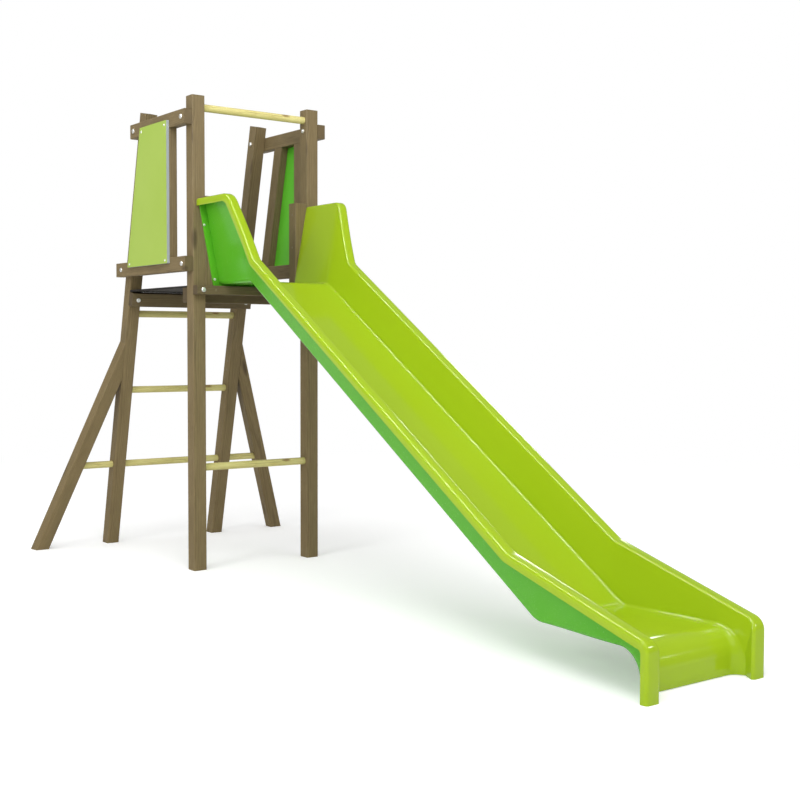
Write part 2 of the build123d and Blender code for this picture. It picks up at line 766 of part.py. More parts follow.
def exit_rim():
    """Right-hand folded rim from the exit's wall round the end corner and down to the ground."""
    path = exit_rim_path(0, end_corner_radius)
    corner = path.edges()[1]
    shares = [i / corner_steps for i in range(corner_steps + 1)]
    # the first section is upright, like the trough's last one
    stops = [path @ 0, path.edges()[0] @ 0.5] + [corner @ share for share in shares] + [path @ 1]
    fall = math.atan(exit_rim_fall)
    turns = [0, fall] + [fall + (math.pi / 2 - fall) * share for share in shares] + [math.pi / 2]
    sections = []
    for index, (stop, turn) in enumerate(zip(stops, turns)):
        lip = column_depth if index > corner_steps / 2 + 1 else lip_depth
        inward = (-math.sin(turn), 0, -math.cos(turn))
        plane = Plane(origin=(stop.X, 0, stop.Y), x_dir=(0, 1, 0),
                      z_dir=tuple(Vector(0, 1, 0).cross(Vector(*inward))))
        sign = 1 if plane.y_dir.dot(Vector(*inward)) > 0 else -1
        outer = rim_inner_y + rim_width
        leg = fold_radius + wall_leg
        top = FilletPolyline((rim_inner_y, sign * leg), (rim_inner_y, 0), (outer, 0), (outer, sign * lip),
                             radius=fold_radius)
        under = FilletPolyline((outer - laminate, sign * lip), (outer - laminate, sign * laminate),
                               (rim_inner_y + laminate, sign * laminate),
                               (rim_inner_y + laminate, sign * leg), radius=fold_radius - laminate)
        ends = [Line(top @ 1, under @ 0), Line(under @ 1, top @ 0)]
        sections.append(plane * make_face(top.edges() + [ends[0]] + under.edges() + [ends[1]]))
    return loft(sections, ruled=True)


def exit_wall():
    """Right-hand wall of the exit in front of the bed's end, down to the ground."""
    edge = exit_rim_path(fold_radius, end_corner_radius - fold_radius)
    back_x = apron_front_x - laminate
    rest = Polyline(edge @ 1, (back_x, 0), (back_x, exit_bed_z - roll_radius),
                    (apron_front_x - roll_radius, exit_bed_z - laminate), edge @ 0)
    face = Plane.XZ * make_face(edge.edges() + rest.edges())
    return Pos(0, rim_inner_y + laminate, 0) * extrude(face, amount=laminate)


def apron():
    """The bed's end rolls down and reaches almost to the ground."""
    start_x = apron_front_x - roll_radius
    top = FilletPolyline((start_x, exit_bed_z), (apron_front_x, exit_bed_z),
                         (apron_front_x, apron_ground_gap), radius=roll_radius - 1)
    under = FilletPolyline((apron_front_x - laminate, apron_ground_gap),
                           (apron_front_x - laminate, exit_bed_z - laminate),
                           (start_x, exit_bed_z - laminate), radius=roll_radius - laminate - 1)
    ends = [Line(top @ 1, under @ 0), Line(under @ 1, top @ 0)]
    face = Plane.XZ * make_face(top.edges() + [ends[0]] + under.edges() + [ends[1]])
    reach = rim_inner_y + laminate / 2
    return Pos(0, reach, 0) * extrude(face, amount=2 * reach)


def fixing_flange():
    """Right-hand flange of the entry, flat on the posts' front faces."""
    foot_z = beam_top_z + flange_foot_gap
    top_z = wing_top_z - laminate / 2
    low_y, low_edge_y = flange_edges(foot_z)
    high_y, high_edge_y = flange_edges(top_z)
    outline = Polyline((low_y - laminate / 2, foot_z), (low_edge_y, foot_z),
                       (high_edge_y, top_z), (high_y - laminate / 2, top_z), close=True)
    flange = extrude(Plane.YZ * make_face(outline), amount=laminate)
    foot_corner = flange.edges().filter_by(Axis.X).sort_by(lambda e: e.center().Z - e.center().Y)[0]
    return fillet(foot_corner, flange_corner_radius)


def slide_chute():
    """The whole laminate slide: trough, exit, fixing flanges and the entry's lip on the beam."""
    chute = loft(trough_sections(apron_front_x - roll_radius), ruled=True)
    end = apron()
    side = exit_rim() + exit_wall()
    end += side
    end += mirrored(side)
    flange = fixing_flange()
    for index in range(len(slide_screw_heights)):
        flange -= screw_hole(slide_screw_start(index), backward, laminate)
    entry = block(0, laminate, -bed_half_width, bed_half_width, beam_top_z, entry_bed_z - laminate / 2)
    chute += entry
    chute += flange
    chute += mirrored(flange)
    return chute + end


# ---------------------------------------------------------------- fasteners
def both_sides(items):
    """Right-hand pieces and their mirror images."""
    return solids_of(list(items) + [mirrored(item) for item in items])


def rail_bolts():
    return both_sides([bolt(start, left, rail_grip) for start in rail_bolt_starts])


def rail_nuts():
    return both_sides([cap_nut(start, left, rail_grip) for start in rail_bolt_starts])


def panel_screws():
    return both_sides([dome_screw(start, left, panel_screw_length) for start in panel_screw_starts()])


def slide_screws():
    starts = [slide_screw_start(index) for index in range(len(slide_screw_heights))]
    return both_sides([dome_screw(start, backward, slide_screw_length) for start in starts])


def baluster_screws():
    return both_sides([sunk_screw(start, direction, long_screw_length)
                       for start, direction in baluster_screw_places()])


def side_screws():
    starts = [Vector(-post_size / 2, slide_post_inner_y, z) for z in side_screw_heights()]
    return both_sides([sunk_screw(start, right, side_screw_length) for start in starts])


def prop_screws():
    return both_sides([sunk_screw(prop_screw_start(z), right, long_screw_length) for z in prop_screw_heights])


def deck_screws():
    return solids_of([sunk_screw(start, down, deck_screw_length) for start in deck_screw_starts()])


def bar_screws():
    """Screws that hold the ladder rungs, the side rungs and the two front bars in their sockets."""
    screws = []
    for z in rung_heights:
        start = rung_screw_start(z, half_width - post_size + socket_depth / 2)
        screws.append(sunk_screw(start, lean_normal, rung_screw_length))
    for y in (half_width - socket_depth / 2, prop_inner_y(first_rung_z) + socket_depth / 2):
        screws.append(sunk_screw(rung_screw_start(first_rung_z, y), lean_normal, rung_screw_length))
    for z in (stretcher_z, top_bar_z):
        screws.append(sunk_screw(Vector(-post_size, post_inner_screw_y(), z), forward, rung_screw_length))
    return both_sides(screws)


# ---------------------------------------------------------------- all the pieces
def pairs():
    """Right-hand pieces by name; each has a mirrored left-hand one."""
    return {
        "front_{}_post": front_post(),
        "rear_{}_post": rear_post(),
        "{}_prop": prop(),
        "{}_slide_post": slide_post(),
        "{}_top_rail": rail(top_rail_bottom_z, top_rail_overhang, True),
        "{}_lower_rail": rail(lower_rail_bottom_z, lower_rail_overhang, False),
        "{}_upright_baluster": upright_baluster(),
        "{}_leaning_baluster": leaning_baluster(),
        "{}_side_panel": side_panel(),
        "{}_side_rung": side_rung(),
    }


def singles():
    """Pieces that lie across the centre plane, and the groups of fasteners."""
    pieces = {
        "front_stretcher": front_bar(stretcher_z),
        "top_bar": front_bar(top_bar_z),
        "front_beam": front_beam(),
        "front_joist": front_joist(),
        "rear_beam": rear_beam(),
        "platform_deck": platform_deck(),
        "slide_chute": slide_chute(),
        "rail_bolts": rail_bolts(),
        "rail_nuts": rail_nuts(),
        "front_beam_bolts": both_sides([bolt(front_bolt_start, backward, front_grip)]),
        "front_beam_nuts": both_sides([cap_nut(front_bolt_start, backward, front_grip)]),
        "rear_beam_bolts": both_sides([bolt(rear_bolt_start, lean_normal * -1, rear_grip)]),
        "rear_beam_nuts": both_sides([cap_nut(rear_bolt_start, lean_normal * -1, rear_grip)]),
        "beam_screws": both_sides([sunk_screw(beam_screw_start(), backward, long_screw_length)]),
        "panel_screws": panel_screws(),
        "slide_screws": slide_screws(),
        "baluster_screws": baluster_screws(),
        "side_screws": side_screws(),
        "prop_screws": prop_screws(),
        "deck_screws": deck_screws(),
        "bar_screws": bar_screws(),
    }
    for name, z in zip(("lower_rung", "middle_rung", "upper_rung"), rung_heights):
        pieces[name] = ladder_rung(z)
    return pieces


def build():
    nodes = singles()
    for name, solid in pairs().items():
        nodes[name.format("right")] = solid
        nodes[name.format("left")] = mirrored(solid)
    return {name: Pos(-origin_x, 0, 0) * solid for name, solid in nodes.items()}


os.makedirs("parts", exist_ok=True)
for node_name, node_solid in build().items():
    export_step(node_solid, f"parts/{node_name}.step")
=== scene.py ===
import math

import bmesh
import bpy
from mathutils import Euler, Matrix, Vector


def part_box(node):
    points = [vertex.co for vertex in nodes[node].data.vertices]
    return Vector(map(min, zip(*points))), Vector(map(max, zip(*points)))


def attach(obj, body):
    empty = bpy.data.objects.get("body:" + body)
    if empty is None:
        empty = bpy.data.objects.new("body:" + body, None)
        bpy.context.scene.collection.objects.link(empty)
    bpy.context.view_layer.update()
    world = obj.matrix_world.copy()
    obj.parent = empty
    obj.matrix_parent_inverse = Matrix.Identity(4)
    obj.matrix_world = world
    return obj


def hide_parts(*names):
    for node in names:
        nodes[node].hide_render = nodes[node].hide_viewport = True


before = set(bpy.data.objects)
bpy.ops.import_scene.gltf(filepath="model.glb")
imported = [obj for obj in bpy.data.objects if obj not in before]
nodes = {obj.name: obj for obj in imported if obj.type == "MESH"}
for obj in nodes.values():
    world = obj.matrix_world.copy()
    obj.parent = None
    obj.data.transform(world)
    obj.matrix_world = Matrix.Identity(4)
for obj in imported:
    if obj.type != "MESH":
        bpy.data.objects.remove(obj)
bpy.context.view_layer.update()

# Straight slide on a timber tower: the timber, round wood, panels, deck and fixings come
# from the frame and get their finishes here; the moulded slide is modelled here.
# Metres, +X down the slide, +Y to the right as seen from the slide's foot, +Z up.

slide_low, slide_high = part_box("slide_chute")
beam_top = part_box("front_beam")[1].z
entry_x = slide_low.x            # the slide's back, on the posts' front faces
end_x = slide_high.x
wing_top = slide_high.z


# ------------------------------------------------------------------ node helpers
COLOUR_A, COLOUR_B, COLOUR_OUT = 6, 7, 2    # a mix node's colour sockets


class Shader:
    """A material with short calls for its nodes."""

    def __init__(self, name):
        self.material = bpy.data.materials.new(name)
        self.material.use_nodes = True
        self.tree = self.material.node_tree
        self.surface = self.tree.nodes["Principled BSDF"]

    def node(self, kind, inputs=None, **settings):
        made = self.tree.nodes.new(kind)
        for key, value in settings.items():
            setattr(made, key, value)
        for key, value in (inputs or {}).items():
            self.put(made.inputs[key], value)
        return made

    def put(self, socket, value):
        if isinstance(value, bpy.types.NodeSocket):
            self.tree.links.new(value, socket)
        else:
            socket.default_value = value

    def set(self, **values):
        for key, value in values.items():
            self.put(self.surface.inputs[key.replace("_", " ")], value)

    def place(self, centre=(0, 0, 0), turn=(0, 0, 0), scale=(1, 1, 1)):
        """Object coordinates, centred on a point, turned and stretched."""
        where = self.node("ShaderNodeTexCoord").outputs["Object"]
        moved = self.node("ShaderNodeVectorMath", {0: where, 1: centre}, operation="SUBTRACT")
        turned = self.node("ShaderNodeMapping", {"Vector": moved.outputs[0], "Rotation": turn})
        sized = self.node("ShaderNodeMapping", {"Vector": turned.outputs[0], "Scale": scale})
        return sized.outputs[0]

    def noise(self, vector, scale, detail=4.0, rough=0.5, distortion=0.0):
        made = self.node("ShaderNodeTexNoise", {"Vector": vector, "Scale": scale, "Detail": detail,
                                                "Roughness": rough, "Distortion": distortion})
        return made.outputs["Fac"]

    def maths(self, operation, first, second=0.0):
        made = self.node("ShaderNodeMath", {0: first, 1: second},
                         operation=operation)
        return made.outputs[0]

    def ramp(self, value, *stops):
        made = self.node("ShaderNodeValToRGB", {"Fac": value})
        elements = made.color_ramp.elements
        while len(elements) < len(stops):
            elements.new(0.5)
        for element, (place, colour) in zip(elements, stops):
            element.position = place
            element.color = colour if len(colour) == 4 else (*colour, 1.0)
        return made.outputs["Color"]

    def grey(self, value, *stops):
        return self.ramp(value, *[(place, (level, level, level, 1.0)) for place, level in stops])

    def mix(self, share, first, second):
        made = self.node("ShaderNodeMix", data_type="RGBA", blend_type="MIX")
        self.put(made.inputs["Factor"], share)
        for socket, value in ((COLOUR_A, first), (COLOUR_B, second)):
            if isinstance(value, tuple):
                value = (*value[:3], 1.0)
            self.put(made.inputs[socket], value)
        return made.outputs[COLOUR_OUT]

    def bump(self, height, strength, distance):
        made = self.node("ShaderNodeBump", {"Height": height, "Strength": strength,
                                            "Distance": distance})
        return made.outputs["Normal"]

    def facing(self, axis):
        """How far the surface looks along an axis, either way, 0 to 1."""
        looks = self.node("ShaderNodeNewGeometry").outputs["Normal"]
        along = self.node("ShaderNodeVectorMath", {0: looks, 1: axis}, operation="DOT_PRODUCT")
        return self.maths("ABSOLUTE", along.outputs["Value"])

    def growth_rings(self, off_x, off_y, rings_per_metre, fine, unevenness):
        """Position within a ring, 0 to 1, from the two offsets off the heart."""
        from_heart = self.maths("SQRT", self.maths("ADD", self.maths("MULTIPLY", off_x, off_x),
                                                   self.maths("MULTIPLY", off_y, off_y)))
        return self.maths("FRACT", self.maths("ADD",
                                              self.maths("MULTIPLY", from_heart, rings_per_metre),
                                              self.maths("MULTIPLY", fine, unevenness)))


def srgb(red, green, blue):
    """Linear colour from the usual 0 to 255 levels."""
    levels = []
    for level in (red, green, blue):
        share = level / 255
        levels.append(share / 12.92 if share <= 0.04045 else ((share + 0.055) / 1.055) ** 2.4)
    return tuple(levels)


# ------------------------------------------------------------------ finishes
def timber(name, centre, tilt=(0, 0, 0), painted_shade=1.0):
    """Planed softwood with a brown stain; the grain runs along the piece's own Z."""
    s = Shader(name)
    along = s.place(centre, tilt)
    # growth rings round a heart that lies off the piece's axis and wanders along it
    heart_x, heart_y = 0.011, 0.019
    rings_per_metre = 210.0
    stretched = s.node("ShaderNodeMapping", {"Vector": along, "Scale": (2.0, 2.0, 0.9)})
    drift = s.node("ShaderNodeTexNoise", {"Vector": stretched.outputs[0], "Scale": 1.3,
                                          "Detail": 2.0}).outputs["Color"]
    wander = s.node("ShaderNodeVectorMath", {0: drift, 1: (0.030, 0.030, 0.0)},
                    operation="MULTIPLY")
    bent = s.node("ShaderNodeVectorMath", {0: along, 1: wander.outputs[0]}, operation="ADD")
    parts = s.node("ShaderNodeSeparateXYZ", {0: bent.outputs[0]})
    off_x = s.maths("ADD", parts.outputs[0], heart_x)
    off_y = s.maths("ADD", parts.outputs[1], heart_y)
    fine = s.noise(s.place(centre, tilt, (60, 60, 2.2)), 3.0, 5.0, 0.6)
    rings = s.growth_rings(off_x, off_y, rings_per_metre, fine, 0.7)
    late_wood = s.grey(rings, (0.0, 0.0), (0.62, 0.30), (0.86, 1.0), (1.0, 0.05))
    # knots, few and small
    knot_place = s.place(centre, tilt, (9.0, 9.0, 2.3))
    cells = s.node("ShaderNodeTexVoronoi", {"Vector": knot_place, "Scale": 1.0, "Randomness": 1.0})
    knots = s.grey(cells.outputs["Distance"], (0.0, 1.0), (0.085, 0.85), (0.16, 0.0))
    fibres = s.noise(s.place(centre, tilt, (260, 260, 6)), 2.0, 6.0, 0.65)
    patches = s.noise(s.place(centre, tilt, (5, 5, 1.6)), 1.6, 3.0, 0.5)
    weather = s.noise(s.place(centre, tilt, (14, 14, 3)), 2.4, 6.0, 0.6)

    # painted shade: every colour is scaled by painted_shade, below 1 for pieces drawn darker as if
    # in shade
    def tone(red, green, blue):
        return tuple(level * painted_shade for level in srgb(red, green, blue))

    early = s.ramp(patches, (0.25, tone(120, 103, 69)), (0.52, tone(134, 116, 80)),
                   (0.8, tone(108, 95, 64)))
    stained = s.mix(s.maths("MULTIPLY", late_wood, 0.55), early, tone(88, 74, 47))
    stained = s.mix(s.grey(fibres, (0.42, 0.0), (0.75, 0.45)), stained, tone(84, 72, 48))
    stained = s.mix(s.grey(weather, (0.55, 0.0), (0.8, 0.35)), stained, tone(140, 127, 95))
    stained = s.mix(s.maths("MULTIPLY", knots, 0.75), stained, tone(63, 48, 31))
    # cut ends drink more stain
    own_axis = Euler(tilt).to_matrix().transposed() @ Vector((0, 0, 1))
    cut = s.grey(s.facing(tuple(own_axis)), (0.80, 0.0), (0.93, 1.0))
    stained = s.mix(s.maths("MULTIPLY", cut, 0.5), stained, tone(84, 68, 45))
    relief = s.maths("ADD", s.maths("MULTIPLY", late_wood, 0.5), s.maths("MULTIPLY", fibres, 0.8))
    normal = s.bump(relief, 0.35, 0.0008)
    s.set(Base_Color=stained, Normal=normal,
          Roughness=s.grey(fibres, (0.2, 0.52), (0.8, 0.74)))
    s.surface.inputs["Specular IOR Level"].default_value = 0.25
    return s.material


def round_wood(name, centre, turn, painted_shade=1.0):
    """Turned pale pine: soft growth bands, small knots, a few checks along the grain."""
    s = Shader(name)
    along = s.place(centre, turn)
    drift = s.noise(s.place(centre, turn, (3, 3, 1.0)), 2.0, 2.0)
    parts = s.node("ShaderNodeSeparateXYZ", {0: along})
    heart_x, heart_y = 0.02, 0.013
    rings_per_metre = 150.0
    wandering = s.maths("ADD", parts.outputs[0], s.maths("MULTIPLY", drift, 0.05))
    off_x = s.maths("ADD", wandering, heart_x)
    off_y = s.maths("ADD", parts.outputs[1], heart_y)
    fine = s.noise(s.place(centre, turn, (70, 70, 3)), 3.0, 5.0, 0.6)
    rings = s.growth_rings(off_x, off_y, rings_per_metre, fine, 0.6)
    late_wood = s.grey(rings, (0.0, 0.0), (0.66, 0.25), (0.9, 1.0), (1.0, 0.05))
    fibres = s.noise(s.place(centre, turn, (300, 300, 7)), 2.0, 6.0, 0.6)
    knot_place = s.place(centre, turn, (16, 16, 6.0))
    cells = s.node("ShaderNodeTexVoronoi", {"Vector": knot_place, "Scale": 1.0})
    knots = s.grey(cells.outputs["Distance"], (0.0, 1.0), (0.10, 0.9), (0.19, 0.0))
    checks = s.grey(s.noise(s.place(centre, turn, (150, 150, 3.2)), 1.0, 2.0, 0.3),
                    (0.66, 0.0), (0.70, 1.0))
    # painted shade: both tones are scaled by painted_shade, below 1 for rods drawn darker as if in
    # shade
    light, deep = [tuple(level * painted_shade for level in srgb(*tint))
                   for tint in ((226, 217, 148), (214, 203, 126))]
    pale = s.ramp(s.noise(along, 6.0, 3.0), (0.3, light), (0.7, deep))
    wood = s.mix(s.maths("MULTIPLY", late_wood, 0.45), pale, srgb(190, 172, 92))
    wood = s.mix(s.grey(fibres, (0.5, 0.0), (0.8, 0.35)), wood, srgb(172, 154, 84))
    wood = s.mix(s.maths("MULTIPLY", knots, 0.8), wood, srgb(122, 84, 44))
    wood = s.mix(s.maths("MULTIPLY", checks, 0.5), wood, srgb(110, 92, 50))
    normal = s.bump(s.maths("SUBTRACT", s.maths("MULTIPLY", fibres, 0.6), checks), 0.4, 0.0008)
    s.set(Base_Color=wood, Normal=normal, Roughness=s.grey(fibres, (0.2, 0.42), (0.8, 0.6)))
    s.surface.inputs["Specular IOR Level"].default_value = 0.30
    return s.material


def gelcoat():
    """Glossy lime laminate: even colour, a slight ripple, sliding marks along the bed."""
    s = Shader("lime_gelcoat")
    where = s.place()
    cloud = s.noise(where, 2.2, 3.0)
    lime = s.ramp(cloud, (0.3, srgb(158, 186, 31)), (0.7, srgb(155, 184, 27)))
    down_bed = (0, math.radians(32.4), 0)
    marks = s.noise(s.place((0, 0, 0), down_bed, (2.5, 420, 30)), 1.0, 4.0, 0.6)
    up = s.grey(s.facing((0, 0, 1)), (0.7, 0.0), (0.84, 1.0))
    worn = s.maths("MULTIPLY", s.grey(marks, (0.56, 0.0), (0.72, 1.0)), up)
    colour = s.mix(s.maths("MULTIPLY", worn, 0.10), lime, srgb(188, 216, 84))
    dust = s.noise(where, 46.0, 8.0, 0.7)
    ripple = s.noise(where, 24.0, 2.0, 0.4)
    s.set(Base_Color=colour,
          Roughness=s.maths("ADD", s.grey(dust, (0.35, 0.09), (0.75, 0.16)),
                            s.maths("MULTIPLY", worn, 0.10)),
          Normal=s.bump(s.maths("ADD", ripple, s.maths("MULTIPLY", marks, 0.01)), 0.06, 0.0015))
    s.surface.inputs["Specular IOR Level"].default_value = 0.22
    s.surface.inputs["Coat Weight"].default_value = 0.10
    s.surface.inputs["Coat Roughness"].default_value = 0.05
    return s.material


def laminate_back_painted_shade():
    """The laminate's reverse over a faint chopped-strand texture; its deeper green is painted
    shade, standing in for the shade and green bounce light on the faces under and outside the
    moulding.
    """
    if "laminate_back_painted_shade" in bpy.data.materials:
        return bpy.data.materials["laminate_back_painted_shade"]
    s = Shader("laminate_back_painted_shade")
    where = s.place()
    cloud = s.noise(where, 3.0, 4.0)
    # painted shade: a deeper green for the reverse faces, which sit in shade lit by green bounce
    # light
    green = s.ramp(cloud, (0.3, srgb(84, 172, 36)), (0.7, srgb(94, 179, 38)))
    strands = s.noise(s.place((0, 0, 0), (0.6, 0.4, 0.9), (160, 40, 160)), 1.0, 5.0, 0.7, 1.5)
    crossed = s.noise(s.place((0, 0, 0), (-0.5, 0.9, 0.2), (40, 160, 120)), 1.0, 5.0, 0.7, 1.5)
    mat = s.maths("MAXIMUM", strands, crossed)
    s.set(Base_Color=s.mix(s.grey(mat, (0.55, 0.0), (0.8, 0.3)), green, srgb(112, 192, 56)),
          Roughness=s.grey(mat, (0.4, 0.16), (0.7, 0.30)), Normal=s.bump(mat, 0.10, 0.0006))
    s.surface.inputs["Specular IOR Level"].default_value = 0.22
    return s.material


def panel_board():
    """Lime coated board with a grey-blue core at its edges; the deeper green on the faces inside
    the tower is painted shade, standing in for shade and green bounce light from the slide.
    """
    if "lime_board" in bpy.data.materials:
        return bpy.data.materials["lime_board"]
    s = Shader("lime_board")
    where = s.place()
    face = s.grey(s.facing((0, 1, 0)), (0.55, 0.0), (0.75, 1.0))
    grain = s.noise(s.place((0, 0, 0), (0, 0, 0), (700, 700, 700)), 1.0, 3.0, 0.6)
    cloud = s.noise(where, 3.0, 3.0)
    outside = s.ramp(cloud, (0.3, srgb(162, 190, 76)), (0.7, srgb(168, 194, 86)))
    # painted shade: a deeper, more saturated green for the inside faces, which sit in shade lit by
    # green bounce light
    inside = s.ramp(cloud, (0.3, srgb(98, 205, 46)), (0.7, srgb(110, 208, 54)))
    side = s.node("ShaderNodeSeparateXYZ", {0: where}).outputs[1]
    normal = s.node("ShaderNodeNewGeometry").outputs["Normal"]
    looks = s.node("ShaderNodeSeparateXYZ", {0: normal}).outputs[1]
    outward = s.maths("GREATER_THAN", s.maths("MULTIPLY", side, looks), 0.0)
    # the board's coat, with the painted shade on the inside faces
    coat = s.mix(outward, inside, outside)
    speck = s.mix(s.grey(grain, (0.60, 0.0), (0.80, 0.22)), coat, srgb(186, 216, 110))
    layers = s.node("ShaderNodeTexWave", {"Vector": where, "Scale": 110.0, "Distortion": 0.6,
                                          "Detail": 2.0}, wave_type="BANDS", bands_direction="Y")
    core = s.ramp(layers.outputs["Fac"], (0.2, srgb(150, 160, 164)), (0.8, srgb(176, 184, 187)))
    s.set(Base_Color=s.mix(face, core, speck),
          Roughness=s.grey(grain, (0.3, 0.36), (0.7, 0.48)),
          Normal=s.bump(grain, 0.18, 0.0004))
    s.surface.inputs["Specular IOR Level"].default_value = 0.30
    return s.material


def deck_board():
    """Dark coated plywood with a fine anti-slip mesh print and ply lines at the edge; its colours
    are also darkened as painted shade, for the underside and edges in the platform's shadow.
    """
    s = Shader("film_faced_deck")
    where = s.place()
    mesh = s.node("ShaderNodeTexVoronoi", {"Vector": where, "Scale": 190.0, "Randomness": 0.15},
                  feature="DISTANCE_TO_EDGE")
    wires = s.grey(mesh.outputs["Distance"], (0.03, 1.0), (0.12, 0.0))
    top = s.grey(s.facing((0, 0, 1)), (0.7, 0.0), (0.85, 1.0))
    # dark film, drawn darker still as painted shade for the underside in the platform's shadow
    film = s.ramp(s.noise(where, 9.0, 5.0), (0.3, srgb(22, 21, 20)), (0.7, srgb(31, 30, 28)))
    dust = s.grey(s.noise(where, 22.0, 7.0, 0.7), (0.55, 0.0), (0.8, 0.4))
    dusty_film_and_painted_shade = s.mix(dust, film, srgb(46, 44, 40))
    plies = s.node("ShaderNodeTexWave", {"Vector": where, "Scale": 160.0}, wave_type="BANDS",
                   bands_direction="Z")
    # ply lines, also darkened as painted shade
    edge = s.ramp(plies.outputs["Fac"], (0.3, srgb(36, 30, 23)), (0.7, srgb(25, 22, 18)))
    s.set(Base_Color=s.mix(top, edge, dusty_film_and_painted_shade), Roughness=0.62,
          Normal=s.bump(s.maths("MULTIPLY", wires, top), 0.5, 0.0006))
    s.surface.inputs["Specular IOR Level"].default_value = 0.25
    return s.material


def zinc(name, dull, bright, metal):
    """Coated steel: mottled, with fine scratches."""
    s = Shader(name)
    where = s.place()
    spangle = s.node("ShaderNodeTexVoronoi", {"Vector": where, "Scale": 260.0}).outputs["Color"]
    level = s.node("ShaderNodeSeparateColor", {0: spangle}).outputs[0]
    scratch = s.noise(s.place((0, 0, 0), (0.4, 0.3, 0), (40, 900, 900)), 1.0, 3.0)
    s.set(Base_Color=s.ramp(level, (0.0, dull), (1.0, bright)),
          Metallic=metal, Roughness=s.grey(level, (0.0, 0.30), (1.0, 0.45)),
          Normal=s.bump(scratch, 0.12, 0.0003))
    return s.material


# ------------------------------------------------------------------ dress the frame
lean = math.radians(13.0)        # rear posts, from upright


def dress(name, material):
    slots = nodes[name].data.materials
    slots.clear()
    slots.append(material)


def middle(name):
    low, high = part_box(name)
    return (low + high) / 2


rod_painted_shade = 0.88                 # painted shade: the round wood's full colour is scaled to this share, where no other is given
# painted shade: the upper rung, under the platform, is drawn darker still; the top bar keeps its
# full colour
rod_painted_shades = {"top_bar": 1.0, "upper_rung": 0.72}
bearer_shade = 0.68              # beams and joist, in the platform's shadow
upright = (0.0, 0.0, 0.0)
along_x = (0.0, math.radians(90), 0.0)
along_y = (math.radians(90), 0.0, 0.0)
leaning = (0.0, -lean, 0.0)
splay = 0.365                    # the props run sideways this much for each unit of rise
prop_swing = math.atan(splay)
prop_lean = -math.atan(math.tan(lean) * math.cos(prop_swing))

zinc_steel = zinc("zinc_coat", srgb(206, 206, 200), srgb(232, 232, 228), 0.6)
brown_screw = zinc("brown_screw", srgb(112, 96, 70), srgb(128, 112, 84), 0.2)
for name in nodes:
    centre = tuple(middle(name))
    if name in ("side_screws", "beam_screws", "prop_screws"):
        dress(name, brown_screw)
    elif name.endswith(("screws", "bolts", "nuts")):
        dress(name, zinc_steel)
    elif name.endswith("side_panel"):
        dress(name, panel_board())
    elif name == "platform_deck":
        dress(name, deck_board())
    elif "rung" in name or name in ("front_stretcher", "top_bar"):
        dress(name, round_wood("pine_" + name, centre, along_y, rod_painted_shades.get(name, rod_painted_shade)))
    elif name.endswith("rail"):
        dress(name, timber("stain_" + name, centre, along_x))
    elif "beam" in name or "joist" in name:
        dress(name, timber("stain_" + name, centre, along_y, bearer_shade))
    elif name.endswith("prop"):
        side = 1 if centre[1] > 0 else -1
        dress(name, timber("stain_" + name, centre, (-prop_swing * side, prop_lean, 0.0)))
    elif name.startswith("rear_") or "leaning" in name:
        dress(name, timber("stain_" + name, centre, leaning))
    elif name != "slide_chute":
        dress(name, timber("stain_" + name, centre, upright))


# ------------------------------------------------------------------ slide
chute_turn = math.radians(32.37)
bed_z = 1.464                   # bed at the entry
exit_z = 0.162                  # bed at the exit
bed_half = 0.222
exit_half = 0.248
flare = 0.19                    # sideways run of the walls for each unit of height
wall = 0.161                    # height of the chute's walls, square to the bed
rim_width = 0.049
lip = 0.037                     # how far the rim's outer edge hangs down
column_lip = 0.030              # the same down the end columns
column_spread = 0.013           # the rim is this much wider, inwards, down the end columns
fillet = 0.015                  # between bed and wall
apron_fillet = 0.050            # the same beside the apron
fold = 0.012                    # radius of the rim's folds
skin = 0.007                    # the laminate's thickness
entry_length = 0.320            # level bed at the entry
first_bend = entry_x + entry_length
apron_x = end_x - 0.089
roll = 0.094                    # radius where the bed rolls down into the apron
entry_radius = 0.100            # bed's bends
exit_radius = 0.100
spread_radius = 0.260           # a wider exit bend, to space the cross sections
apron_foot = 0.003              # the apron's edge, off the ground
wing_length = 0.305
wing_fall = 2.0                 # drop of the wing's front edge for each unit forward
wing_corner, wing_foot, rim_turn, end_corner = 0.068, 0.055, 0.060, 0.052   # radii along the rim
rim_inner = bed_half + flare * wall
parallel_from = first_bend + 0.5    # past the wings the rims run parallel
flange_width = rim_width - skin - skin / 2
slope = math.tan(chute_turn)

# how finely it is drawn
bed_step = 0.05
rim_step = 0.004
arc_step = 0.004
least_arc = 6                   # pieces in a rounded corner
bend_turn = 0.02                # the rim bends where its heading changes by more than this
bend_gap = 0.006                # between cross sections where the rim bends
straight_gap = 0.04             # and where it is straight
fillet_count = 7
fold_pieces = 5
tiny = 1e-6
nil = 1e-9


